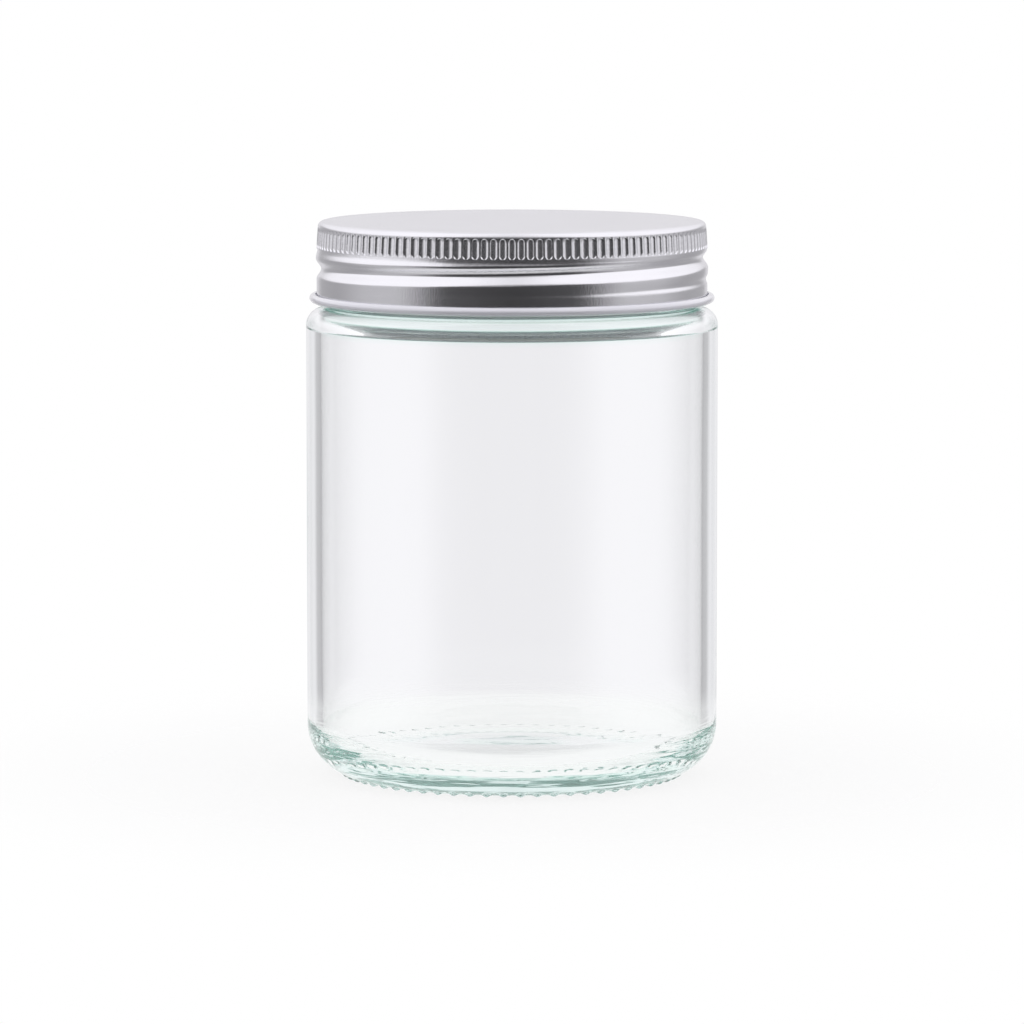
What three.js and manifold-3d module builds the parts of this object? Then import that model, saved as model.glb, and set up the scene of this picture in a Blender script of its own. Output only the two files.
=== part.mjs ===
// A straight-sided jar of clear glass with a screw cap rolled from sheet aluminium.
// Millimetres, +Z up. The origin is in the middle of the base, on the surface the jar stands on.
// The front of the jar faces -Y, and angles are counted from +X towards +Y.

import * as THREE from 'three';
import { mergeVertices } from 'three/addons/utils/BufferGeometryUtils.js';
import Module from 'manifold-3d';

const wasm = await Module();
wasm.setup();

// Glass body
const BODY_DIAMETER = 74;
const SHOULDER_HEIGHT = 84.4; // from the base to the step below the cap
const WALL_THICKNESS = 2.7;
const BASE_THICKNESS = 4.7;
const HEEL_RADIUS = 9.2;
const INNER_HEEL_RADIUS = 4.6;
const SHOULDER_RADIUS = 3;
const FOOT_WIDTH = 1.6; // flat ring that the jar stands on
const FOOT_RISE = 0.3; // step from that ring up to the flat underside
const PUSH_UP = 1.6; // height of the hollow in the middle of the underside
const FLOOR_CROWN = 0.6; // rise of the inside floor towards its middle

// Neck and rim
const NECK_SETBACK = 3.7; // from the wall of the body in to the wall of the neck
const NECK_HEIGHT = 13.85;
const NECK_THICKNESS = 3;
const NECK_FILLET = 0.8;
const RIM_RADIUS = 1;
const THROAT_DROP = 3.6; // from the step down to where the inside starts to narrow
const THROAT_HEIGHT = 4; // height in which it narrows to the mouth

// Screw thread: one right-hand start, six turns to the inch
const PITCH = 25.4 / 6;
const THREAD_ANGLE = -160; // where bead and groove start, in degrees
const THREAD_FADE = 50; // degrees in which they fade out at the top
const BEAD_HEIGHT = 1.2; // bead of glass round the neck
const BEAD_WIDTH = 2.6;
const BEAD_RUN_IN = 60; // degrees in which the bead rises to its full height
const GROOVE_DEPTH = 0.85; // groove rolled into the skirt of the cap
const GROOVE_WIDTH = 3.6;
const GROOVE_RUN_IN = 180; // degrees in which the groove sinks to its full depth
const GROOVE_LEAD = 0.9; // how far above its winding the groove starts
const GROOVE_SWELL = 0.12; // bulge of the sheet between two turns of the groove
const GROOVE_LIFT = 2; // from the lower edge of the cap to the start of the winding
const FLANK_CLEARANCE = 0.1; // between the bead and the groove that bears on it

// Cap
const SHEET_THICKNESS = 0.35;
const THREAD_CLEARANCE = 0.25; // from the crest of the bead out to the skirt
const CORNER_RADIUS = 0.9;
const EDGE_GAP = 1.1; // from the step of the jar up to the curled edge
const CURL_HEIGHT = 1.5;
const CURL_REACH = 1.65;
const CURL_TIP_GAP = 0.12; // from the skirt to the rolled-in end of the sheet
const WAIST_WIDTH = 1.6; // shallow waist between the flutes and the thread
const WAIST_DEPTH = 0.2;
const FLUTES = 136;
const FLUTE_LENGTH = 3.2;
const FLUTE_WIDTH = 0.9;
const FLUTE_DEPTH = 0.3;

// Sealing disc
const LINER_THICKNESS = 1.2;
const LINER_CLEARANCE = 0.35; // round the edge of the disc
const SEAT_GAP = 0.1; // between the disc and the faces it lies against

// Fineness of the facets
const JAR_COLUMNS = 48;
const CAP_COLUMNS = Math.round(FLUTES / 2); // two flutes to a facet
const THREAD_ROWS = 10;

// Radii and levels that two or more pieces share
const TURN = 2 * Math.PI;
const bodyRadius = BODY_DIAMETER / 2;
const neckRadius = bodyRadius - NECK_SETBACK;
const mouthRadius = neckRadius - NECK_THICKNESS;
const crestRadius = neckRadius + BEAD_HEIGHT;
const skirtInside = crestRadius + THREAD_CLEARANCE;
const skirtOutside = skirtInside + SHEET_THICKNESS;
const skirtMiddle = skirtInside + SHEET_THICKNESS / 2;
const rimLevel = SHOULDER_HEIGHT + NECK_HEIGHT;
const linerLevel = rimLevel + SEAT_GAP;
const panelInside = linerLevel + LINER_THICKNESS + SEAT_GAP;
const panelOutside = panelInside + SHEET_THICKNESS;
const panelMiddle = panelInside + SHEET_THICKNESS / 2;
const capEdge = SHOULDER_HEIGHT + EDGE_GAP;
const fluteTop = panelOutside - CORNER_RADIUS;
const fluteBottom = fluteTop - FLUTE_LENGTH;
const threadTop = fluteBottom - FLUTE_DEPTH;

// A ridge that winds up the axis, with as many turns as fit below the flutes
function winding(level, width, runIn, lead) {
  return { level, width, runIn, lead, turns: (threadTop - width / 3 - level) / PITCH };
}

const grooveLevel = capEdge + GROOVE_LIFT;
const beadLevel = grooveLevel + (BEAD_WIDTH + GROOVE_WIDTH) / 4 + FLANK_CLEARANCE;
const groove = winding(grooveLevel, GROOVE_WIDTH, GROOVE_RUN_IN, GROOVE_LEAD);
const swell = { ...groove, level: grooveLevel + PITCH / 2, width: PITCH, lead: 0 };
const bead = winding(beadLevel, BEAD_WIDTH, BEAD_RUN_IN, 0);

// Height of such a ridge: 1 along its crest, 0 beside it and past its ends. It is narrow where
// it runs in and where it fades out, and a lead makes it run in more level than it winds.
function ridgeHeight(ridge, angle, level) {
  const { degToRad, euclideanModulo, smoothstep } = THREE.MathUtils;
  const length = ridge.turns * TURN;
  let height = 0;
  let along = euclideanModulo(angle - degToRad(THREAD_ANGLE), TURN);
  for (; along < length; along += TURN) {
    const begin = smoothstep(along, 0, degToRad(ridge.runIn));
    const end = smoothstep(length - along, 0, degToRad(THREAD_FADE));
    const strength = begin * begin * end;
    const middle = ridge.level + PITCH * along / TURN + ridge.lead * (1 - begin);
    const halfWidth = ridge.width / 2 * (0.4 + 0.6 * strength);
    const across = smoothstep(1 - Math.abs(level - middle) / halfWidth, 0, 1);
    height = Math.max(height, across * strength);
  }
  return height;
}

// Points of a profile: x is the distance from the axis, y the level.
const at = (radius, level) => new THREE.Vector2(radius, level);

function arc(radius, level, across, up, from, to, steps) {
  const start = THREE.MathUtils.degToRad(from);
  const end = THREE.MathUtils.degToRad(to);
  const curve = new THREE.EllipseCurve(radius, level, across, up, start, end, to < from);
  return curve.getPoints(steps);
}

function rows(radius, from, to, count) {
  const levels = Array.from({ length: count + 1 }, (_, i) => from + (to - from) * i / count);
  return levels.map((level) => at(radius, level));
}

// Outline of a sheet that follows a middle line: out along one face, back along the other.
function sheetOutline(line, thickness) {
  const outside = [];
  const inside = [];
  line.forEach((point, i) => {
    const before = line[Math.max(i - 1, 0)];
    const after = line[Math.min(i + 1, line.length - 1)];
    const along = after.clone().sub(before).normalize();
    const across = at(-along.y, along.x).multiplyScalar(thickness / 2);
    inside.push(point.clone().sub(across));
    outside.unshift(point.clone().add(across));
  });
  return [...inside, ...outside];
}

// Turns a profile about the axis; relief moves each point of the surface out or in.
function turned(profile, columns, relief) {
  const geometry = new THREE.LatheGeometry(profile, columns);
  geometry.rotateX(Math.PI / 2);
  const position = geometry.getAttribute('position');
  for (let i = 0; i < position.count; i += 1) {
    const radius = Math.hypot(position.getX(i), position.getY(i));
    const angle = Math.atan2(position.getY(i), position.getX(i));
    const moved = radius + relief(radius, angle, position.getZ(i));
    const scale = radius > 0 ? moved / radius : 1;
    position.setX(i, position.getX(i) * scale);
    position.setY(i, position.getY(i) * scale);
  }
  return solid(geometry);
}

function solid(geometry) {
  geometry.deleteAttribute('normal');
  geometry.deleteAttribute('uv');
  const merged = mergeVertices(geometry, 1e-4);
  const corners = merged.index.array;
  const triangles = [];
  for (let i = 0; i < corners.length; i += 3) {
    const [a, b, c] = [corners[i], corners[i + 1], corners[i + 2]];
    if (a !== b && b !== c && c !== a) {
      triangles.push(a, b, c);
    }
  }
  return new wasm.Manifold(new wasm.Mesh({
    numProp: 3,
    vertProperties: new Float32Array(merged.getAttribute('position').array),
    triVerts: new Uint32Array(triangles),
  }));
}

function piece(name, body, material) {
  const { vertProperties, triVerts } = body.getMesh();
  const geometry = new THREE.BufferGeometry();
  geometry.setAttribute('position', new THREE.BufferAttribute(vertProperties, 3));
  geometry.setIndex(new THREE.BufferAttribute(triVerts, 1));
  geometry.computeVertexNormals();
  const mesh = new THREE.Mesh(geometry, material);
  mesh.name = name;
  return mesh;
}

// The jar: one wall of glass from the hollow under the base, over the rim, down to the floor.
function jarBody() {
  const footRadius = bodyRadius - HEEL_RADIUS;
  const footInside = footRadius - FOOT_WIDTH;
  const hollowRadius = footInside * 0.65;
  const hollow = new THREE.CubicBezierCurve(
    at(0, PUSH_UP), at(hollowRadius * 0.35, PUSH_UP),
    at(hollowRadius * 0.53, FOOT_RISE), at(hollowRadius, FOOT_RISE),
  );
  const shoulderInside = bodyRadius - SHOULDER_RADIUS;
  const innerRadius = bodyRadius - WALL_THICKNESS;
  const floorRadius = innerRadius - INNER_HEEL_RADIUS;
  const wallTop = SHOULDER_HEIGHT - THROAT_DROP;
  const neckFoot = wallTop + THROAT_HEIGHT;
  const bend = THROAT_HEIGHT / 2;
  const throat = new THREE.CubicBezierCurve(
    at(mouthRadius, neckFoot), at(mouthRadius, neckFoot - bend),
    at(innerRadius, wallTop + bend), at(innerRadius, wallTop),
  );
  const floor = new THREE.QuadraticBezierCurve(
    at(floorRadius, BASE_THICKNESS), at(floorRadius * 0.6, BASE_THICKNESS),
    at(0, BASE_THICKNESS + FLOOR_CROWN),
  );
  const profile = [
    ...hollow.getPoints(4),
    at(footInside, 0),
    ...arc(footRadius, HEEL_RADIUS, HEEL_RADIUS, HEEL_RADIUS, -90, 0, 6),
    ...arc(
      shoulderInside, SHOULDER_HEIGHT - SHOULDER_RADIUS,
      SHOULDER_RADIUS, SHOULDER_RADIUS, 0, 90, 4,
    ),
    ...arc(
      neckRadius + NECK_FILLET, SHOULDER_HEIGHT + NECK_FILLET,
      NECK_FILLET, NECK_FILLET, 270, 180, 2,
    ),
    ...rows(neckRadius, beadLevel - BEAD_WIDTH / 2, threadTop, THREAD_ROWS),
    ...arc(neckRadius - RIM_RADIUS, rimLevel - RIM_RADIUS, RIM_RADIUS, RIM_RADIUS, 0, 90, 2),
    ...arc(mouthRadius + RIM_RADIUS, rimLevel - RIM_RADIUS, RIM_RADIUS, RIM_RADIUS, 90, 180, 2),
    ...throat.getPoints(4),
    ...arc(
      floorRadius, BASE_THICKNESS + INNER_HEEL_RADIUS,
      INNER_HEEL_RADIUS, INNER_HEEL_RADIUS, 0, -90, 4,
    ),
    ...floor.getPoints(3).slice(1),
  ];
  const neckMiddle = neckRadius - NECK_THICKNESS / 2;
  return turned(profile, JAR_COLUMNS, (radius, angle, level) => {
    const onNeck = radius > neckMiddle && level > SHOULDER_HEIGHT + NECK_FILLET / 2;
    return onNeck ? BEAD_HEIGHT * ridgeHeight(bead, angle, level) : 0;
  });
}

// One flute: a slot with round ends, pressed in from the front of the skirt.
function fluteCutter() {
  const half = FLUTE_LENGTH / 2 - FLUTE_WIDTH / 2;
  const slot = new THREE.Shape([
    ...arc(0, half, FLUTE_WIDTH / 2, FLUTE_WIDTH / 2, 0, 180, 2),
    ...arc(0, -half, FLUTE_WIDTH / 2, FLUTE_WIDTH / 2, 180, 360, 2),
  ]);
  const cutter = new THREE.ExtrudeGeometry(slot, { depth: 1, bevelEnabled: false });
  cutter.rotateX(Math.PI / 2);
  cutter.translate(0, FLUTE_DEPTH - skirtOutside, (fluteTop + fluteBottom) / 2);
  return cutter;
}

// The cap: one sheet drawn into a panel and a skirt, its thread rolled in and its edge curled out.
function capShell() {
  const cornerMiddle = CORNER_RADIUS - SHEET_THICKNESS / 2;
  const curlAcross = (CURL_REACH - SHEET_THICKNESS) / 2;
  const curlUp = (CURL_HEIGHT - SHEET_THICKNESS) / 2;
  const curlLevel = capEdge + CURL_HEIGHT / 2;
  const curlTip = Math.acos((SHEET_THICKNESS + CURL_TIP_GAP) / curlAcross - 1);
  const curlEnd = 360 + THREE.MathUtils.radToDeg(curlTip);
  const threadLow = capEdge + CURL_HEIGHT;
  const waistLevel = threadTop - WAIST_WIDTH / 2;
  const line = [
    at(0, panelMiddle),
    ...arc(
      skirtMiddle - cornerMiddle, panelMiddle - cornerMiddle,
      cornerMiddle, cornerMiddle, 90, 0, 2,
    ),
    at(skirtMiddle, fluteBottom),
    ...rows(skirtMiddle, threadTop, threadLow, THREAD_ROWS),
    ...arc(skirtMiddle + curlAcross, curlLevel, curlAcross, curlUp, 180, curlEnd, 7),
  ];
  const slack = SHEET_THICKNESS / 10;
  const outline = sheetOutline(line, SHEET_THICKNESS);
  const shell = turned(outline, CAP_COLUMNS, (radius, angle, level) => {
    const onSkirt = radius > skirtInside - slack;
    const inThread = level > threadLow - slack && level < threadTop + slack;
    const inFlutes = level > fluteBottom - slack && level < fluteTop + slack;
    if (onSkirt && inThread) {
      const besideWaist = Math.abs(level - waistLevel) / (WAIST_WIDTH / 2);
      const waist = WAIST_DEPTH * THREE.MathUtils.smoothstep(1 - besideWaist, 0, 1);
      const rolledIn = GROOVE_DEPTH * ridgeHeight(groove, angle, level);
      return GROOVE_SWELL * ridgeHeight(swell, angle, level) - Math.max(rolledIn, waist);
    }
    return onSkirt && inFlutes && radius < skirtMiddle ? -FLUTE_DEPTH : 0;
  });
  let cutters = null;
  for (let i = 0; i < FLUTES; i += 1) {
    const cutter = solid(fluteCutter().rotateZ((i + 0.5) * TURN / FLUTES));
    cutters = cutters ? cutters.add(cutter) : cutter;
  }
  return shell.subtract(cutters);
}

// The sealing disc between the rim of the jar and the panel of the cap.
function capLiner() {
  const radius = skirtInside - FLUTE_DEPTH - LINER_CLEARANCE;
  const top = linerLevel + LINER_THICKNESS;
  const profile = [at(0, linerLevel), at(radius, linerLevel), at(radius, top), at(0, top)];
  return turned(profile, JAR_COLUMNS, () => 0);
}

const clearGlass = new THREE.MeshStandardMaterial({
  color: 0xdfeae4, roughness: 0.03, metalness: 0, transparent: true, opacity: 0.35,
});
const satinAluminium = new THREE.MeshStandardMaterial({
  color: 0xd2d1d6, roughness: 0.3, metalness: 1,
});
const whiteFoam = new THREE.MeshStandardMaterial({
  color: 0xf0efea, roughness: 0.8, metalness: 0,
});

const jar = new THREE.Group();
jar.add(
  piece('jar_body', jarBody(), clearGlass),
  piece('cap_shell', capShell(), satinAluminium),
  piece('cap_liner', capLiner(), whiteFoam),
);

export default jar;
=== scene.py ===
# %% [markdown]
# # A clear glass jar with a rolled aluminium screw cap
# A jar like this has three pieces: the glass, the cap, and a sealing disc that is hidden under
# the cap. A measured model of them already exists, in metres, with +Z up and the jar standing
# on the origin. This lesson replaces its plain solids by finer ones in the same places, gives
# them their finishes, and lights them. The measured model's box is kept, hidden.

# %% Load the measured jar
import math

import bmesh
import bpy
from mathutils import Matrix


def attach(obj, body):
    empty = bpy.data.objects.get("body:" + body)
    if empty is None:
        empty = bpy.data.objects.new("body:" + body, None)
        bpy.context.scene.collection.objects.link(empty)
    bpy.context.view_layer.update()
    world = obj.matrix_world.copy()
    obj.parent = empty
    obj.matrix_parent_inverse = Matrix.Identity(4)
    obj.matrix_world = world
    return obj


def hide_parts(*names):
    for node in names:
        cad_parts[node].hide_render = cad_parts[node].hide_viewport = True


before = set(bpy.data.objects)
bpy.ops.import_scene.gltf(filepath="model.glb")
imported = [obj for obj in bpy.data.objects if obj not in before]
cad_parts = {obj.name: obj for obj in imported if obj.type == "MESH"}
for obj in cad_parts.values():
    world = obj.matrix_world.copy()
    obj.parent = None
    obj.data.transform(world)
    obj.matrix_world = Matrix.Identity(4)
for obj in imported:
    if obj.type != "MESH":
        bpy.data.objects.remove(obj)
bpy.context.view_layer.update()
MM = 0.001
TURN = 2 * math.pi

# %% [markdown]
# ## Sums on wires
# Geometry Nodes and shader nodes both do their sums with Math nodes, and one line of school
# algebra takes a dozen of them. Placing those by hand in a script hides the formula, so this
# small class wraps one output socket and turns Python's own signs into Math nodes. The tree
# that comes out is an ordinary one, which can be opened and read in Blender.


# %% A wire that understands plus, minus, times and over
class Wire:
    def __init__(self, tree, socket):
        self.tree = tree
        self.socket = socket

    def math(self, operation, *others):
        node = self.tree.nodes.new("ShaderNodeMath")
        node.operation = operation
        for slot, value in zip(node.inputs, (self, *others)):
            plug(self.tree, value, slot)
        return Wire(self.tree, node.outputs[0])

    def __add__(self, other):
        return self.math("ADD", other)

    def __sub__(self, other):
        return self.math("SUBTRACT", other)

    def __mul__(self, other):
        return self.math("MULTIPLY", other)

    def __truediv__(self, other):
        return self.math("DIVIDE", other)

    def ease(self, low, high):
        """0 up to low, 1 from high on, and a smooth ramp between them."""
        node = self.tree.nodes.new("ShaderNodeMapRange")
        node.interpolation_type = "SMOOTHSTEP"
        plug(self.tree, self, node.inputs["Value"])
        plug(self.tree, low, node.inputs["From Min"])
        plug(self.tree, high, node.inputs["From Max"])
        return Wire(self.tree, node.outputs["Result"])


def plug(tree, value, slot):
    if isinstance(value, Wire):
        tree.links.new(value.socket, slot)
    else:
        slot.default_value = value


def add_node(tree, kind, **settings):
    node = tree.nodes.new(kind)
    for name, value in settings.items():
        setattr(node, name, value)
    return node


print("wires ready")

# %% [markdown]
# ## Trees with named sizes
# Every shape below is a Geometry Nodes tree whose sizes are named inputs, so it can be used
# again for another jar. These helpers start a tree with its inputs, set them on a modifier by
# their identifiers, and turn the evaluated result into a plain mesh without the modifier.


# %% Start a tree, and run one on an object
SOCKETS = {float: "NodeSocketFloat", int: "NodeSocketInt", bpy.types.Object: "NodeSocketObject",
           bpy.types.Material: "NodeSocketMaterial"}


def start_tree(name, sizes, geometry=True):
    tree = bpy.data.node_groups.new(name, "GeometryNodeTree")
    kinds = {"Profile": "NodeSocketGeometry"} if geometry else {}
    kinds.update({size: SOCKETS[kind] for size, kind in sizes.items()})
    for size, kind in kinds.items():
        tree.interface.new_socket(size, in_out="INPUT", socket_type=kind)
    given = tree.nodes.new("NodeGroupInput")
    return tree, {size: Wire(tree, given.outputs[size]) for size in kinds}


def end_tree(tree, name, kind, socket):
    tree.interface.new_socket(name, in_out="OUTPUT", socket_type=kind)
    tree.links.new(socket, tree.nodes.new("NodeGroupOutput").inputs[0])
    return tree


def run_tree(name, profile, tree, sizes):
    piece = bpy.data.objects.new(name, profile)
    bpy.context.scene.collection.objects.link(piece)
    modifier = piece.modifiers.new(tree.name, "NODES")
    modifier.node_group = tree
    for item in tree.interface.items_tree:
        if item.in_out == "INPUT" and item.name in sizes:
            modifier[item.identifier] = sizes[item.name]
    bpy.context.view_layer.update()
    evaluated = piece.evaluated_get(bpy.context.evaluated_depsgraph_get())
    mesh = bpy.data.meshes.new_from_object(evaluated)
    piece.modifiers.remove(modifier)
    piece.data = mesh
    mesh.name = name
    return piece


print("tree helpers ready")

# %% [markdown]
# ## Turning a profile
# Jar, cap and disc are all turned shapes: a line drawn beside the axis is swept round it. The
# Screw modifier could do that, but inside a tree Curve to Mesh does it too, along a circle.
# Its profile's X points away from the axis and its Y points down, so that is how a line of
# (radius, height) pairs is stored. The radius of the guide circle is taken off again.

# %% Lines for a profile
GUIDE = 10 * MM


def profile_mesh(name, *lines):
    points = []
    edges = []
    for line in lines:
        first = len(points)
        points += [(radius * MM - GUIDE, -height * MM, 0) for radius, height in line]
        edges += [(i, i + 1) for i in range(first, len(points) - 1)]
    mesh = bpy.data.meshes.new(name)
    mesh.from_pydata(points, edges, [])
    return mesh


def arc(radius, height, across, up, start, end, steps):
    angles = [math.radians(start + (end - start) * i / steps) for i in range(steps + 1)]
    return [(radius + across * math.cos(a), height + up * math.sin(a)) for a in angles]


def curve(a, b, c, d, steps):
    """A cubic Bezier curve from a to d, drawn towards b and c."""
    points = []
    for i in range(steps + 1):
        t = i / steps
        weights = ((1 - t) ** 3, 3 * t * (1 - t) ** 2, 3 * t * t * (1 - t), t ** 3)
        points.append(tuple(sum(w * p[k] for w, p in zip(weights, (a, b, c, d)))
                            for k in (0, 1)))
    return points


def rows(radius, start, end, count):
    return [(radius, start + (end - start) * i / count) for i in range(count + 1)]


print("profile helpers ready, guide circle", GUIDE, "m")


# %% Sweep a profile round the axis
def sweep(tree, profile, columns):
    line = add_node(tree, "GeometryNodeMeshToCurve")
    guide = add_node(tree, "GeometryNodeCurvePrimitiveCircle")
    turned = add_node(tree, "GeometryNodeCurveToMesh")
    plug(tree, profile, line.inputs["Mesh"])
    plug(tree, columns, guide.inputs["Resolution"])
    guide.inputs["Radius"].default_value = GUIDE
    tree.links.new(guide.outputs["Curve"], turned.inputs["Curve"])
    tree.links.new(line.outputs["Curve"], turned.inputs["Profile Curve"])
    return turned.outputs["Mesh"]


def round_axis(tree):
    """Where a point is: its distance from the axis, its angle round it and its height."""
    place = add_node(tree, "GeometryNodeInputPosition")
    split = add_node(tree, "ShaderNodeSeparateXYZ")
    tree.links.new(place.outputs[0], split.inputs[0])
    x, y, z = (Wire(tree, socket) for socket in split.outputs)
    radius = (x * x + y * y).math("SQRT")
    return radius, y.math("ARCTAN2", x), z


def push(tree, mesh, angle, outwards, upwards):
    """Moves every point of a mesh away from the axis and up."""
    move = add_node(tree, "ShaderNodeCombineXYZ")
    plug(tree, angle.math("COSINE") * outwards, move.inputs["X"])
    plug(tree, angle.math("SINE") * outwards, move.inputs["Y"])
    plug(tree, upwards, move.inputs["Z"])
    placed = add_node(tree, "GeometryNodeSetPosition")
    tree.links.new(mesh, placed.inputs["Geometry"])
    tree.links.new(move.outputs[0], placed.inputs["Offset"])
    return placed.outputs["Geometry"]


print("sweep ready")

# %% Weld, smooth and dress
WELD = 0.001 * MM
CREASE = math.radians(50)


def finished(tree, mesh, finish):
    """Real geometry, welded, smooth but for its creases, in one finish."""
    real = add_node(tree, "GeometryNodeRealizeInstances")
    weld = add_node(tree, "GeometryNodeMergeByDistance")
    smooth = add_node(tree, "GeometryNodeSetShadeSmooth")
    crease = add_node(tree, "GeometryNodeSetShadeSmooth", domain="EDGE")
    dress = add_node(tree, "GeometryNodeSetMaterial")
    weld.inputs["Distance"].default_value = WELD
    fold = Wire(tree, add_node(tree, "GeometryNodeInputMeshEdgeAngle").outputs["Unsigned Angle"])
    plug(tree, fold.math("GREATER_THAN", CREASE), crease.inputs["Selection"])
    crease.inputs["Shade Smooth"].default_value = False
    plug(tree, finish, dress.inputs["Material"])
    tree.links.new(mesh, real.inputs[0])
    for before, after in ((real, weld), (weld, smooth), (smooth, crease), (crease, dress)):
        tree.links.new(before.outputs[0], after.inputs[0])
    return end_tree(tree, "Mesh", "NodeSocketGeometry", dress.outputs[0])


print("welding ready, creases from", round(math.degrees(CREASE)), "degrees")

# %% [markdown]
# ## The winding of the thread
# The bead on the glass and the groove in the cap wind up the axis on the same helix, so one
# group describes both: for a point at some angle and height it gives 1 on the crest, 0 beside
# it, and tapers at its two ends. A swept tube would have to be cut into the wall with a
# boolean; moving the wall's own points keeps it in one piece. No winding here reaches two full
# turns, so each angle meets it at most twice, and two laps are enough. A run-in lets a ridge
# grow slowly from its start, and a lead lets it begin a little higher and sink into its helix.

# %% One group for every winding ridge
LAPS = 2
SLIM_END = 0.4


def winding_ridge():
    sizes = ("Angle", "Height", "Start", "Level", "Width", "Turns", "Pitch", "Run in", "Lead",
             "Fade out")
    tree, size = start_tree("Winding ridge", dict.fromkeys(sizes, float), geometry=False)
    along = (size["Angle"] - size["Start"]).math("FLOORED_MODULO", TURN)
    ridge = None
    for lap in range(LAPS):
        here = along + lap * TURN
        begin = here.ease(0.0, size["Run in"])
        end = (size["Turns"] * TURN - here).ease(0.0, size["Fade out"])
        strength = begin * begin * end
        lead = size["Lead"] * (begin * -1.0 + 1.0)
        middle = size["Level"] + size["Pitch"] * here / TURN + lead
        half_width = size["Width"] / 2 * (strength * (1 - SLIM_END) + SLIM_END)
        offset = (size["Height"] - middle).math("ABSOLUTE")
        this_lap = offset.ease(half_width, 0.0) * strength
        ridge = ridge.math("MAXIMUM", this_lap) if ridge else this_lap
    return end_tree(tree, "Ridge", "NodeSocketFloat", ridge.socket)


WINDING = winding_ridge()
print("winding ridge:", len(WINDING.nodes), "nodes")

# %% Wind a ridge on a piece
PITCH = 25.4 / 6
THREAD_START = math.radians(-160)
THREAD_FADE = math.radians(50)


def wound(tree, angle, height, ridge):
    group = add_node(tree, "GeometryNodeGroup", node_tree=WINDING)
    plug(tree, angle, group.inputs["Angle"])
    plug(tree, height, group.inputs["Height"])
    for name, value in ridge.items():
        group.inputs[name].default_value = value
    return Wire(tree, group.outputs["Ridge"])


def winding(level, width, turns, run_in, lead=0.0):
    """A ridge from a level upwards, with the degrees that it takes to grow to full size."""
    return {"Start": THREAD_START, "Level": level * MM, "Width": width * MM,
            "Turns": turns, "Pitch": PITCH * MM, "Run in": math.radians(run_in),
            "Lead": lead * MM, "Fade out": THREAD_FADE}


print("pitch of the thread:", round(PITCH, 3), "mm")

# %% [markdown]
# ## Clear glass
# Bottle glass is not quite colourless: a trace of iron makes it green where one looks along the
# wall. Painting the surface green would tint every part alike, so the wall stays white and the
# colour is Volume Absorption, which deepens with the length of glass that light crosses. Only
# the inner face of the throat has green painted on: a painted tint that stands in for the green
# that light gathers as it runs far along the thick neck.
# The mould leaves soft ripples, which a faint, upright noise in the bump gives. In the thick
# heel the glass flowed round the mould, and a second noise, flattened, draws those streaks.
# A pair of sizes, here and below, says where a zone begins and where it has its full strength.


# %% What every finish needs
def new_finish(name):
    finish = bpy.data.materials.new(name)
    finish.use_nodes = True
    tree = finish.node_tree
    shader = tree.nodes["Principled BSDF"]
    place = tree.nodes.new("ShaderNodeTexCoord")
    return finish, tree, shader, place.outputs["Object"]


def noise(tree, place, scale, detail=2.0, stretch=(1, 1, 1)):
    mapping = add_node(tree, "ShaderNodeMapping")
    mapping.inputs["Scale"].default_value = stretch
    texture = add_node(tree, "ShaderNodeTexNoise")
    texture.inputs["Scale"].default_value = scale
    texture.inputs["Detail"].default_value = detail
    tree.links.new(place, mapping.inputs["Vector"])
    tree.links.new(mapping.outputs[0], texture.inputs["Vector"])
    return Wire(tree, texture.outputs[0])


def bump(tree, shader, height, strength, distance):
    node = add_node(tree, "ShaderNodeBump")
    node.inputs["Strength"].default_value = strength
    node.inputs["Distance"].default_value = distance
    plug(tree, height, node.inputs["Height"])
    tree.links.new(node.outputs[0], shader.inputs["Normal"])


def shades(tree, value, dark, light):
    ramp = add_node(tree, "ShaderNodeValToRGB")
    ramp.color_ramp.elements[0].color = (*dark, 1)
    ramp.color_ramp.elements[1].color = (*light, 1)
    plug(tree, value, ramp.inputs[0])
    return Wire(tree, ramp.outputs["Color"])


print("finish helpers ready")

# %% Finish: clear glass
GLASS_IOR = 1.52
IRON_GREEN = (0.36, 0.83, 0.71, 1)
IRON_DENSITY = 5.2
WHITE = (1, 1, 1)
# painted tint: green painted on the throat's inner face, for the green of light's long path
# along the thick neck
THROAT_PAINTED_GREEN = (0.82, 0.94, 0.905)
PAINTED_GREEN_STARTS = (79.5 * MM, 81.5 * MM)
PAINTED_GREEN_STOPS = (88.5 * MM, 86.0 * MM)
INNER_FACE = (35.2 * MM, 34.7 * MM)
STREAKS_UP_TO = (13 * MM, 8 * MM)
STREAKS_OUT_FROM = (28 * MM, 31 * MM)


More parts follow.
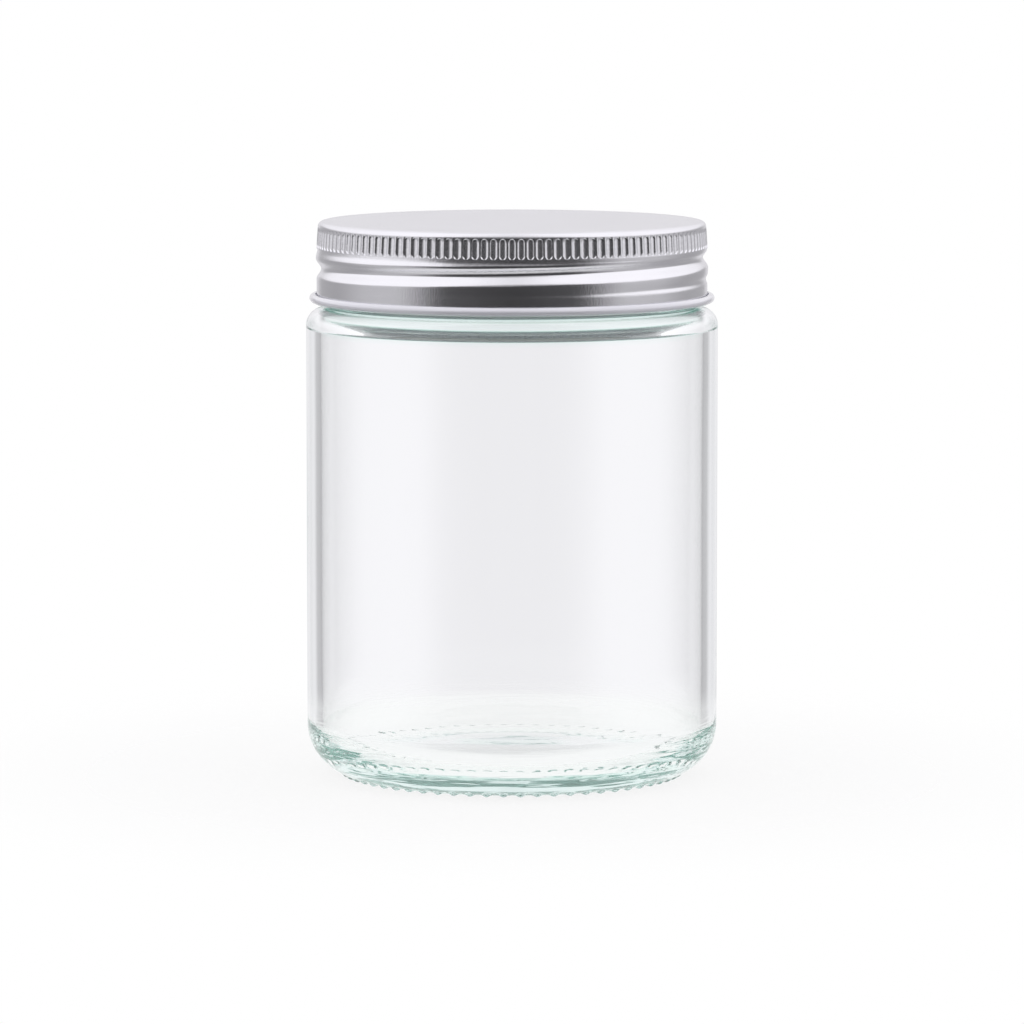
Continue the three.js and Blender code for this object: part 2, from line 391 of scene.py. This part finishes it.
def clear_glass():
    finish, tree, shader, place = new_finish("clear_glass")
    shader.inputs["Roughness"].default_value = 0.0
    shader.inputs["IOR"].default_value = GLASS_IOR
    shader.inputs["Transmission Weight"].default_value = 1.0
    tint = add_node(tree, "ShaderNodeVolumeAbsorption")
    tint.inputs["Color"].default_value = IRON_GREEN
    tint.inputs["Density"].default_value = IRON_DENSITY
    tree.links.new(tint.outputs[0], tree.nodes["Material Output"].inputs["Volume"])
    split = add_node(tree, "ShaderNodeSeparateXYZ")
    tree.links.new(place, split.inputs[0])
    x, y, height = (Wire(tree, socket) for socket in split.outputs)
    radius = (x * x + y * y).math("SQRT")
    # painted tint: the throat's inner face gets green painted on, where long light paths in the
    # thick neck turn it green
    painted_green_zone = (height.ease(*PAINTED_GREEN_STARTS) * height.ease(*PAINTED_GREEN_STOPS)
                 * radius.ease(*INNER_FACE))
    plug(tree, shades(tree, painted_green_zone, WHITE, THROAT_PAINTED_GREEN), shader.inputs["Base Color"])
    in_heel = height.ease(*STREAKS_UP_TO) * radius.ease(*STREAKS_OUT_FROM)
    streaks = noise(tree, place, 60, 2.0, (1, 1, 12)) * in_heel
    ripples = noise(tree, place, 55, 1.0, (1, 1, 0.35))
    bump(tree, shader, ripples + streaks * 2.5, 0.12, 0.4 * MM)
    return finish


CLEAR_GLASS = clear_glass()
print("finish:", CLEAR_GLASS.name)

# %% [markdown]
# ## The glass jar
# One line draws the whole wall: from the hollow under the base, round the heel, up the side,
# over the shoulder, up the neck, over the rim, and back down inside to the floor. Glass must be
# one closed skin, because Cycles bends light at every face that it meets, so the thread bead
# and the small bumps under the heel are not added as extra pieces: the tree raises them out of
# the swept wall, from the angle and height of each point.

# %% Sizes of the glass, in millimetres
BODY_RADIUS = 37.0
WALL = 2.7
BASE = 4.7
HEEL = 9.2
INNER_HEEL = 5.6
WALL_FOOT = 20
WALL_TOP = 80.7
SHOULDER_HEIGHT = 84.4
SHOULDER = 3.0
NECK_RADIUS = 33.3
NECK_FILLET = 0.8
NECK_FOOT = 86.6
NECK_TOP = 96.2
MOUTH_RADIUS = 30.3
THROAT = ((MOUTH_RADIUS, 87.5), (MOUTH_RADIUS, 85.3), (32.2, 83.7), (34.15, 81.2))
THROAT_FOOT = (34.28, 80.95)
RIM_HEIGHT = 98.25
RIM = 1.0
BEAD_HEIGHT = 1.2
BEAD = winding(89.15, 2.6, 1.32, 60)
FOOT_RADIUS = BODY_RADIUS - HEEL
FOOT_WIDTH = 1.6
FOOT_RISE = 0.6
PUSH_UP = 1.2
FLOOR_CROWN = 0.6
BUMPS = 64
BUMP_RING = 30.7
BUMP_HEIGHT = 0.40
BUMP_WIDTH = 2.2
BUMPS_FADE = (3.0 * MM, 2.0 * MM)
LIFT = 0.1
GLASS_COLUMNS = 640
print("glass sizes: wall", WALL, "base", BASE, "bumps", BUMPS)


# %% The line of the glass
def glass_line():
    hollow_edge = FOOT_RADIUS - FOOT_WIDTH
    inner = BODY_RADIUS - WALL
    floor_edge = inner - INNER_HEEL
    low = LIFT + FOOT_RISE
    return [
        *curve((0, PUSH_UP + LIFT), (6, PUSH_UP + LIFT), (9, low), (17, low), 12),
        *curve((17, low), (22, low), (23, LIFT), (hollow_edge, LIFT), 6)[1:],
        *arc(FOOT_RADIUS, HEEL, HEEL, HEEL - LIFT, -90, -62, 14),
        *arc(FOOT_RADIUS, HEEL, HEEL, HEEL - LIFT, -62, 0, 14)[1:],
        *rows(BODY_RADIUS, WALL_FOOT, SHOULDER_HEIGHT - SHOULDER - 8, 4),
        *arc(BODY_RADIUS - SHOULDER, SHOULDER_HEIGHT - SHOULDER, SHOULDER, SHOULDER, 0, 90, 14),
        *arc(NECK_RADIUS + NECK_FILLET, SHOULDER_HEIGHT + NECK_FILLET, NECK_FILLET, NECK_FILLET,
             270, 180, 5),
        *rows(NECK_RADIUS, NECK_FOOT, NECK_TOP, 24),
        *arc(NECK_RADIUS - RIM, RIM_HEIGHT - RIM, RIM, RIM, 0, 90, 5),
        *arc(MOUTH_RADIUS + RIM, RIM_HEIGHT - RIM, RIM, RIM, 90, 180, 5),
        *curve(*THROAT, 14), THROAT_FOOT, *rows(inner, WALL_TOP, WALL_FOOT, 4),
        *arc(floor_edge, BASE + INNER_HEEL, INNER_HEEL, INNER_HEEL, 0, -90, 14),
        *curve((floor_edge, BASE), (floor_edge * 0.7, BASE),
               (floor_edge * 0.4, BASE + FLOOR_CROWN), (0, BASE + FLOOR_CROWN), 10)[1:],
    ]


print("points in the line of the glass:", len(glass_line()))


# %% A tree that blows the jar
def blown_jar():
    tree, size = start_tree("Blown jar", {
        "Columns": int, "Bead height": float, "Bumps": float, "Bump height": float,
        "Bump width": float, "Finish": bpy.types.Material})
    jar = sweep(tree, size["Profile"], size["Columns"])
    radius, angle, height = round_axis(tree)
    on_neck = radius.math("GREATER_THAN", (NECK_RADIUS + MOUTH_RADIUS) / 2 * MM)
    bead = wound(tree, angle, height, BEAD) * on_neck * size["Bead height"]

    turn_of_bump = (angle * size["Bumps"] / TURN).math("FLOORED_MODULO", 1.0) - 0.5
    across = turn_of_bump * radius * TURN / size["Bumps"] / size["Bump width"] * 2.0
    along = (radius - BUMP_RING * MM) / size["Bump width"] * 2.0
    dome = ((across * across + along * along) * -1.0 + 1.0).math("MAXIMUM", 0.0)
    rise = dome.math("POWER", 2.0) * height.ease(*BUMPS_FADE) * size["Bump height"]
    out = (radius - FOOT_RADIUS * MM).math("MAXIMUM", 0.0)
    down = height - HEEL * MM
    reach = (out * out + down * down).math("SQRT")
    raised = push(tree, jar, angle, bead + rise * out / reach, rise * down / reach)
    return finished(tree, raised, size["Finish"])


glass_jar = run_tree("glass_jar", profile_mesh("glass_line", glass_line()), blown_jar(), {
    "Columns": GLASS_COLUMNS, "Bead height": BEAD_HEIGHT * MM, "Bumps": float(BUMPS),
    "Bump height": BUMP_HEIGHT * MM, "Bump width": BUMP_WIDTH * MM, "Finish": CLEAR_GLASS})
print("glass jar:", len(glass_jar.data.polygons), "faces")

# %% [markdown]
# ## One closed skin, facing out
# A sweep does not promise which way its faces point, and a welded skin may still have a hole.
# Both spoil glass, so every piece goes through this check: the faces are turned outwards, and
# edges that do not join exactly two faces are counted and printed.


# %% Turn faces out and count open edges
def face_out(piece):
    skin = bmesh.new()
    skin.from_mesh(piece.data)
    bmesh.ops.remove_doubles(skin, verts=skin.verts, dist=WELD)
    bmesh.ops.recalc_face_normals(skin, faces=skin.faces)
    open_edges = sum(not edge.is_manifold for edge in skin.edges)
    triangles = sum(len(face.verts) - 2 for face in skin.faces)
    volume = skin.calc_volume(signed=True)
    skin.to_mesh(piece.data)
    skin.free()
    print(piece.name, "triangles", triangles, "open edges", open_edges,
          "volume in ml", round(volume * 1e6, 2))


face_out(glass_jar)
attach(glass_jar, "jar")
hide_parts("jar_body")

# %% [markdown]
# ## Satin aluminium and white lacquer
# The cap is drawn from sheet that is rolled satin outside and lacquered white inside. The curl
# at its edge is rolled outwards, so what shows there is the lacquer. The metal gets fine lines
# round the axis from a noise read at the angle and height of each point: stretched noise on
# plain coordinates would run straight across the round top.

# %% Finishes of the sheet
ROUND_AXIS = 0.0004


def spun_place(tree, place):
    """Coordinates that run round the axis: distance from it, angle and height."""
    split = add_node(tree, "ShaderNodeSeparateXYZ")
    tree.links.new(place, split.inputs[0])
    x, y, z = (Wire(tree, socket) for socket in split.outputs)
    joined = add_node(tree, "ShaderNodeCombineXYZ")
    plug(tree, (x * x + y * y).math("SQRT"), joined.inputs["X"])
    plug(tree, y.math("ARCTAN2", x) * ROUND_AXIS, joined.inputs["Y"])
    plug(tree, z, joined.inputs["Z"])
    return joined.outputs[0]


def satin_aluminium():
    finish, tree, shader, place = new_finish("satin_aluminium")
    lines = noise(tree, spun_place(tree, place), 9000, 3.0)
    clouds = noise(tree, place, 90, 3.0)
    plug(tree, shades(tree, clouds, (0.82, 0.82, 0.85), (0.90, 0.90, 0.93)),
         shader.inputs["Base Color"])
    shader.inputs["Metallic"].default_value = 1.0
    grain = noise(tree, place, 3600, 2.0, (1, 1, 0.3))
    plug(tree, lines * 0.10 + clouds * 0.05 + 0.12, shader.inputs["Roughness"])
    bump(tree, shader, lines + grain * 3.0, 0.55, 0.01 * MM)
    return finish


def white_lacquer():
    finish, tree, shader, place = new_finish("white_lacquer")
    clouds = noise(tree, place, 120, 2.0)
    plug(tree, shades(tree, clouds, (0.89, 0.89, 0.96), (0.94, 0.94, 0.99)),
         shader.inputs["Base Color"])
    shader.inputs["Metallic"].default_value = 0.1
    shader.inputs["Roughness"].default_value = 0.12
    shader.inputs["Coat Weight"].default_value = 0.8
    shader.inputs["Coat Roughness"].default_value = 0.05
    bump(tree, shader, noise(tree, place, 1800, 1.0), 0.06, 0.02 * MM)
    return finish


SATIN_ALUMINIUM = satin_aluminium()
WHITE_LACQUER = white_lacquer()
print("finishes:", SATIN_ALUMINIUM.name, WHITE_LACQUER.name)

# %% [markdown]
# ## The rolled cap
# The cap is one sheet a third of a millimetre thick: a flat panel, a tight corner, a band of
# pressed flutes, the rolled thread, and the curled edge. A middle line is drawn through the
# sheet, and its two faces lie half a thickness to each side of it. Each face is turned by one
# tree, which also rolls in the groove and the waist under the fluted band, once in metal and
# once in lacquer. The band itself leans in a little towards the top.

# %% Sizes of the cap, in millimetres
SHEET = 0.35
SKIRT_RADIUS = 34.925
PANEL_HEIGHT = 99.824
CORNER = 0.725
CAP_EDGE = 85.5
CURL_ACROSS = 0.65
CURL_UP = 0.575
CURL_GAP = 0.12
SKIRT_FOOT = 86.6
THREAD_ZONE = (86.7 * MM, 87.4 * MM)
GROOVE = winding(87.5, 3.6, 1.63, 280, 0.9)
GROOVE_DEPTH = 0.85
SWELL = winding(87.5 + PITCH / 2, PITCH, 1.63, 180)
SWELL_HEIGHT = 0.12
WAIST_DEPTH = 0.2
FLUTES = 136
TAPER = 0.25
BAND_HEIGHT = 3.85
BAND_TOP = PANEL_HEIGHT - CORNER
BAND_FOOT = BAND_TOP - BAND_HEIGHT
LEDGE = 0.006
UNDER_LEDGE = ((BAND_FOOT - 0.001) * MM, (BAND_FOOT - 0.005) * MM)
WAIST_ZONE = ((BAND_FOOT - 1.8) * MM, (BAND_FOOT - 0.4) * MM)
print("cap sizes: sheet", SHEET, "band", BAND_HEIGHT, "flutes", FLUTES)


# %% The two faces of the sheet
def sheet_faces(line):
    outside = []
    inside = []
    for i, (radius, height) in enumerate(line):
        before = line[max(i - 1, 0)]
        after = line[min(i + 1, len(line) - 1)]
        along = (after[0] - before[0], after[1] - before[1])
        half = SHEET / 2 / math.hypot(*along)
        outside.append((radius - along[1] * half, height + along[0] * half))
        inside.append((radius + along[1] * half, height - along[0] * half))
    return outside, inside


tip = 360 + math.degrees(math.acos((SHEET + CURL_GAP) / CURL_ACROSS - 1))
band_radius = SKIRT_RADIUS - TAPER
top_line = [(0, PANEL_HEIGHT), (20, PANEL_HEIGHT), (32, PANEL_HEIGHT),
            *arc(band_radius - CORNER, PANEL_HEIGHT - CORNER, CORNER, CORNER, 90, 0, 8)]
skirt_line = [(SKIRT_RADIUS, BAND_FOOT),
              *rows(SKIRT_RADIUS, BAND_FOOT - LEDGE, SKIRT_FOOT, 38),
              *arc(SKIRT_RADIUS + CURL_ACROSS, CAP_EDGE + CURL_UP + SHEET / 2, CURL_ACROSS,
                   CURL_UP, 180, tip, 26)]
tops = sheet_faces(top_line)
skirts = sheet_faces(skirt_line)
tops = [[*face[:-1], (band_radius + side * SHEET / 2, BAND_TOP)]
        for side, face in zip((1, -1), tops)]
skirts = [[(SKIRT_RADIUS + side * SHEET / 2, BAND_FOOT), *face[1:]]
          for side, face in zip((1, -1), skirts)]
print("points on each face:", len(tops[0]) + len(skirts[0]))

# %% [markdown]
# ## A pressed flute
# The grip is a ring of slots with round ends, pressed into the sheet side by side. One tile of
# the band, with one slot in it, is drawn as rings of sixteen points: the tile's border, the
# edge of the slot, and the steps of its round trough, which slopes at the top and ends steeply
# at the foot. The tree sets copies of it round the axis, and they weld to each other and to the
# turned faces, because they share their border points.

# %% Rings of one slot: half a width, how far up and down it reaches, and its depth
RING = 16
SLOT = ((0.68, 1.87, 1.890, 0.0), (0.58, 1.83, 1.888, 0.07), (0.46, 1.77, 1.885, 0.15),
        (0.32, 1.70, 1.883, 0.21), (0.15, 1.60, 1.880, 0.24))


def slot_ring(half_width, top, foot):
    slant = half_width * math.sqrt(0.5)
    high, low = top - half_width, half_width - foot
    left = [(-half_width, low + (high - low) * k) for k in (1, 0.95, 0.5, 0.02, 0)]
    ring = [(0, top), (-slant, high + slant), *left, (-slant, low - slant), (0, -foot)]
    return ring + [(-across, up) for across, up in reversed(ring[1:-1])]


def border_ring(half_width, half_height):
    left = [(-half_width, half_height * k / 3) for k in (3, 2, 1, 0, -1, -2, -3)]
    ring = [(0, half_height), *left, (0, -half_height)]
    return ring + [(-across, up) for across, up in reversed(ring[1:-1])]


print("points in a ring:", len(slot_ring(*SLOT[0][:3])))


# %% One tile of the fluted band
def flute_tile(name, radius):
    middle = (BAND_TOP + BAND_FOOT) / 2
    half_pitch = math.pi * (SKIRT_RADIUS + SHEET / 2) / FLUTES
    rings = [(border_ring(half_pitch, (BAND_TOP - BAND_FOOT) / 2), 0.0)]
    rings += [(slot_ring(*outline), depth) for *outline, depth in SLOT]
    points = []
    for ring, depth in rings:
        for across, up in ring:
            angle = across / (SKIRT_RADIUS + SHEET / 2)
            taper = TAPER * (0.5 + up / (BAND_TOP - BAND_FOOT))
            reach = (radius - depth - taper) * MM
            points.append((reach * math.cos(angle), reach * math.sin(angle), (middle + up) * MM))
    faces = []
    for ring in range(len(SLOT)):
        for i in range(RING):
            a, b = ring * RING + i, ring * RING + (i + 1) % RING
            faces.append((a, b, b + RING, a + RING))
    bed = len(SLOT) * RING
    foot = bed + RING // 2
    faces += [(bed + i, bed + i + 1, bed + RING - 1 - i, bed + RING - i)
              for i in range(1, RING // 2 - 1)]
    faces += [(bed, bed + 1, bed + RING - 1), (foot - 1, foot, foot + 1)]
    mesh = bpy.data.meshes.new(name)
    mesh.from_pydata(points, [], faces)
    tile = bpy.data.objects.new(name, mesh)
    bpy.context.scene.collection.objects.link(tile)
    return tile


tiles = [flute_tile("tile_outside", SKIRT_RADIUS + SHEET / 2),
         flute_tile("tile_inside", SKIRT_RADIUS - SHEET / 2)]
print("faces in a tile:", len(tiles[0].data.polygons))


# %% A tree that rolls one face of the cap
def rolled_face():
    tree, size = start_tree("Rolled face", {
        "Columns": int, "Groove depth": float, "Swell height": float, "Waist depth": float,
        "Flutes": int, "Tile": bpy.types.Object, "Finish": bpy.types.Material})
    sheet = sweep(tree, size["Profile"], size["Columns"])
    _, angle, height = round_axis(tree)
    groove = wound(tree, angle, height, GROOVE) * size["Groove depth"]
    swell = wound(tree, angle, height, SWELL) * size["Swell height"]
    waist = height.ease(*WAIST_ZONE) * size["Waist depth"]
    on_skirt = height.ease(*THREAD_ZONE) * height.ease(*UNDER_LEDGE)
    rolled = push(tree, sheet, angle, (swell - groove.math("MAXIMUM", waist)) * on_skirt, 0.0)

    places = add_node(tree, "GeometryNodePoints")
    plug(tree, size["Flutes"], places.inputs["Count"])
    index = Wire(tree, add_node(tree, "GeometryNodeInputIndex").outputs[0])
    turn = add_node(tree, "ShaderNodeCombineXYZ")
    plug(tree, index * TURN / size["Flutes"], turn.inputs["Z"])
    tile = add_node(tree, "GeometryNodeObjectInfo")
    plug(tree, size["Tile"], tile.inputs["Object"])
    band = add_node(tree, "GeometryNodeInstanceOnPoints")
    tree.links.new(places.outputs[0], band.inputs["Points"])
    tree.links.new(tile.outputs["Geometry"], band.inputs["Instance"])
    tree.links.new(turn.outputs[0], band.inputs["Rotation"])
    both = add_node(tree, "GeometryNodeJoinGeometry")
    tree.links.new(rolled, both.inputs[0])
    tree.links.new(band.outputs[0], both.inputs[0])
    return finished(tree, both.outputs[0], size["Finish"])


ROLLED_FACE = rolled_face()
SIDES = (("metal_face", SATIN_ALUMINIUM), ("lacquer_face", WHITE_LACQUER))
faces = []
for side, (name, finish) in enumerate(SIDES):
    faces.append(run_tree(name, profile_mesh(name, tops[side], skirts[side]), ROLLED_FACE, {
        "Columns": FLUTES * 2, "Groove depth": GROOVE_DEPTH * MM,
        "Swell height": SWELL_HEIGHT * MM, "Waist depth": WAIST_DEPTH * MM, "Flutes": FLUTES,
        "Tile": tiles[side], "Finish": finish}))
    print(name, len(faces[-1].data.polygons), "faces")

# %% [markdown]
# ## Joining the two faces
# The two faces meet only at the rolled-in tip of the curl, where a thin strip closes the sheet.
# After that the cap is one closed skin with two finishes, and it can be turned outwards.


# %% Close the sheet at the tip of the curl
def close_cap(metal, lacquer):
    skin = bmesh.new()
    skin.from_mesh(metal.data)
    for face in skin.faces:
        face.material_index = 0
    count = len(skin.faces)
    skin.from_mesh(lacquer.data)
    skin.faces.ensure_lookup_table()
    for face in skin.faces[count:]:
        face.material_index = 1
    rim = [edge for edge in skin.edges if edge.is_boundary]
    bridge = bmesh.ops.bridge_loops(skin, edges=rim)
    for face in bridge["faces"]:
        face.material_index = 1
        face.smooth = True
    cap = bpy.data.objects.new("rolled_cap", bpy.data.meshes.new("rolled_cap"))
    skin.to_mesh(cap.data)
    skin.free()
    cap.data.materials.append(SATIN_ALUMINIUM)
    cap.data.materials.append(WHITE_LACQUER)
    bpy.context.scene.collection.objects.link(cap)
    for helper in (metal, lacquer, *tiles):
        bpy.data.objects.remove(helper)
    return cap


rolled_cap = close_cap(*faces)
face_out(rolled_cap)
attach(rolled_cap, "cap")
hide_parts("cap_shell")

# %% [markdown]
# ## The sealing disc
# Under the panel lies a disc of foamed plastic that the rim of the jar presses into. It shows
# only when the cap is off. It is turned like the rest, with softly rounded edges and the ring
# that the rim has left in it, and its fine cells are a Voronoi pattern in the bump.


# %% Finish and shape of the sealing disc
def sealing_foam():
    finish, tree, shader, place = new_finish("sealing_foam")
    cells = add_node(tree, "ShaderNodeTexVoronoi")
    cells.inputs["Scale"].default_value = 1400
    tree.links.new(place, cells.inputs["Vector"])
    clouds = noise(tree, place, 150, 3.0)
    plug(tree, shades(tree, clouds, (0.84, 0.84, 0.81), (0.93, 0.93, 0.91)),
         shader.inputs["Base Color"])
    shader.inputs["Roughness"].default_value = 0.65
    bump(tree, shader, Wire(tree, cells.outputs["Distance"]), 0.25, 0.05 * MM)
    return finish


def foam_disc():
    tree, size = start_tree("Foam disc", {"Columns": int, "Finish": bpy.types.Material})
    return finished(tree, sweep(tree, size["Profile"], size["Columns"]), size["Finish"])


FOAM_DISC = foam_disc()
print("disc tree:", len(FOAM_DISC.nodes), "nodes")

# %% Turn the sealing disc
DISC_LOW, DISC_HIGH, DISC_EDGE = 98.35, 99.55, 33.9
DISC_ROUND = 0.3
RIM_MARK = DISC_LOW + 0.22
DISC_COLUMNS = 192
disc_line = [
    (0, DISC_LOW), (30.2, DISC_LOW),
    *curve((30.4, DISC_LOW), (31.2, RIM_MARK), (32.4, RIM_MARK), (33.0, DISC_LOW), 10),
    *arc(DISC_EDGE - DISC_ROUND, DISC_LOW + DISC_ROUND, DISC_ROUND, DISC_ROUND, -90, 0, 5),
    *arc(DISC_EDGE - DISC_ROUND, DISC_HIGH - DISC_ROUND, DISC_ROUND, DISC_ROUND, 0, 90, 5),
    (0, DISC_HIGH)]
sealing_disc = run_tree("sealing_disc", profile_mesh("disc_line", disc_line), FOAM_DISC, {
    "Columns": DISC_COLUMNS, "Finish": sealing_foam()})
face_out(sealing_disc)
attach(sealing_disc, "liner")
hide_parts("cap_liner")

# %% [markdown]
# ## Floor and studio
# The photograph's ground is plain white. The floor is a white surface that keeps the jar's
# shadow, lifted by a little light of its own for the rays that go to the camera, directly or by
# way of metal and glass. Under the middle of the jar it stays darker: the camera sees the real
# shadow there, while for the rays that come by way of metal and glass the floor's own light is
# turned down there, a painted shadow. Further out it melts into the white round it. The studio
# is the world: a bright backdrop behind the jar, large soft lights to both sides and above,
# darker gaps between them, and the dark side of the room where the camera stands. The gaps draw
# the edges of the glass, and the dark side draws the cap.
# A little haze lightens everything above the horizon.

# %% Floor
FLOOR_RADIUS = 0.42
FLOOR_DROP = 0.05 * MM
FLOOR_PAINT = (0.88, 0.88, 0.88, 1)
LIFT_FOR_CAMERA = 0.86
# the floor's own light seen by way of metal and glass: lower under the middle of the jar, a
# painted shadow, and higher further out
LIFT_UNDER_JAR = 0.62
LIFT_FURTHER_OUT = 0.33
PAINTED_SHADOW_MIDDLE = (0.010, 0.022)
MELTS_AWAY = (0.05, 0.13)


def studio_floor():
    bpy.ops.mesh.primitive_circle_add(vertices=96, radius=FLOOR_RADIUS, fill_type="NGON",
                                      location=(0, 0, -FLOOR_DROP))
    floor = bpy.context.object
    floor.name = "floor"
    finish = bpy.data.materials.new("floor_white")
    finish.use_nodes = True
    tree = finish.node_tree
    tree.nodes.clear()
    split = add_node(tree, "ShaderNodeSeparateXYZ")
    tree.links.new(add_node(tree, "ShaderNodeTexCoord").outputs["Object"], split.inputs[0])
    x, y, _ = (Wire(tree, socket) for socket in split.outputs)
    out = (x * x + y * y).math("SQRT")
    rays = add_node(tree, "ShaderNodeLightPath")
    by_camera = Wire(tree, rays.outputs["Is Camera Ray"])
    by_jar = Wire(tree, rays.outputs["Is Glossy Ray"]).math(
        "MAXIMUM", Wire(tree, rays.outputs["Is Transmission Ray"]))
    paint = add_node(tree, "ShaderNodeBsdfDiffuse")
    paint.inputs["Color"].default_value = FLOOR_PAINT
    white = add_node(tree, "ShaderNodeEmission")
    mix = add_node(tree, "ShaderNodeMixShader")
    # painted shadow: seen by way of metal and glass, the floor's own light is turned down under
    # the middle of the jar
    lift = by_jar * (out.ease(*PAINTED_SHADOW_MIDDLE) * LIFT_FURTHER_OUT + LIFT_UNDER_JAR)
    plug(tree, (by_camera * LIFT_FOR_CAMERA).math("MAXIMUM", lift), mix.inputs[0])
    tree.links.new(paint.outputs[0], mix.inputs[1])
    tree.links.new(white.outputs[0], mix.inputs[2])
    melt = add_node(tree, "ShaderNodeMixShader")
    plug(tree, out.ease(*MELTS_AWAY), melt.inputs[0])
    tree.links.new(mix.outputs[0], melt.inputs[1])
    tree.links.new(add_node(tree, "ShaderNodeBsdfTransparent").outputs[0], melt.inputs[2])
    output = add_node(tree, "ShaderNodeOutputMaterial")
    tree.links.new(melt.outputs[0], output.inputs["Surface"])
    floor.data.materials.append(finish)
    return floor


print("floor:", studio_floor().name)

# %% Lights of the studio: degrees round from the back, and how bright it is there
LOW_FOR_METAL = [(0, 0.78), (16, 0.78), (26, 0.44), (58, 0.38), (82, 0.50), (112, 0.52),
                 (138, 0.07), (180, 0.045)]
LOW_FOR_GLASS = [(0, 0.90), (1.2, 0.90), (2.6, 0.97), (25, 0.97), (31, 0.50), (55, 0.50),
                 (76, 0.95), (125, 1.0), (138, 0.86), (180, 0.82)]
HIGH = [(0, 0.88), (20, 0.95), (75, 1.10), (140, 1.10), (180, 0.85)]
COOL = (1, 0.985, 1.015)


def ramp_of(tree, value, stops):
    ramp = add_node(tree, "ShaderNodeValToRGB")
    elements = ramp.color_ramp.elements
    while len(elements) < len(stops):
        elements.new(0.5)
    for element, (place, level) in zip(elements, stops):
        element.position = place / 180
        element.color = (*(level * part for part in COOL), 1)
    plug(tree, value, ramp.inputs[0])
    return Wire(tree, ramp.outputs["Color"])


def blend(tree, amount, first, second):
    node = add_node(tree, "ShaderNodeMix", data_type="RGBA")
    for slot, value in ((0, amount), (6, first), (7, second)):
        plug(tree, value, node.inputs[slot])
    return Wire(tree, node.outputs[2])


print("stops of light:", len(LOW_FOR_METAL), len(LOW_FOR_GLASS), len(HIGH))

# %% Studio
HAZE = 0.40
HAZE_ZONE = (0.12, 0.22)
HORIZON = (0.18, 0.38)
LOWER_AT_SIDES = 0.25
HIGHER_IN_FRONT = 0.3
FRONT_ZONE = (0.70, 0.92)


def studio_world():
    world = bpy.data.worlds.new("studio")
    bpy.context.scene.world = world
    world.use_nodes = True
    tree = world.node_tree
    place = add_node(tree, "ShaderNodeTexCoord")
    split = add_node(tree, "ShaderNodeSeparateXYZ")
    tree.links.new(place.outputs["Generated"], split.inputs[0])
    x, y, z = (Wire(tree, socket) for socket in split.outputs)
    from_back = x.math("ARCTAN2", y).math("ABSOLUTE") / math.pi
    rays = add_node(tree, "ShaderNodeLightPath")
    low = blend(tree, Wire(tree, rays.outputs["Is Transmission Ray"]),
                ramp_of(tree, from_back, LOW_FOR_METAL), ramp_of(tree, from_back, LOW_FOR_GLASS))
    high = ramp_of(tree, from_back, HIGH)
    low = blend(tree, z.ease(*HAZE_ZONE) * HAZE, low, high)
    level = (x * x + y * y).math("SQRT").math("MAXIMUM", 0.001)
    sideways = x.math("ABSOLUTE") / level
    in_front = from_back.ease(*FRONT_ZONE)
    upwards = z + sideways * LOWER_AT_SIDES - in_front * HIGHER_IN_FRONT
    studio = blend(tree, upwards.ease(*HORIZON), low, high)
    shown = blend(tree, Wire(tree, rays.outputs["Is Camera Ray"]), studio, (*WHITE, 1))
    plug(tree, shown, tree.nodes["Background"].inputs["Color"])
    return world


print("world:", studio_world().name)

# %% [markdown]
# ## Camera
# The photograph was taken from about a metre away, a little above the cap, with a long lens.
# Its place was found by fitting circles of the jar and the cap to the picture. Light that enters
# the thick heel runs a long way inside the glass, so the paths are allowed many more bounces
# than usual: with too few of them, the corners of the base turn black.

# %% Camera
LENS = 212.6
SENSOR = 36
CAMERA_PLACE = (0, -1.0847, 0.16736)
CAMERA_DOWN = 6.31
BOUNCES = 96


def photo_camera():
    data = bpy.data.cameras.new("photo_camera")
    data.lens = LENS
    data.sensor_width = SENSOR
    camera = bpy.data.objects.new("photo_camera", data)
    camera.location = CAMERA_PLACE
    camera.rotation_euler = (math.radians(90 - CAMERA_DOWN), 0, 0)
    bpy.context.scene.collection.objects.link(camera)
    bpy.context.scene.camera = camera
    return camera


print("camera at", tuple(photo_camera().location))
bpy.context.scene.view_settings.view_transform = "Standard"
bpy.context.scene.cycles.max_bounces = BOUNCES
bpy.context.scene.cycles.transmission_bounces = BOUNCES
bpy.context.scene.cycles.glossy_bounces = BOUNCES
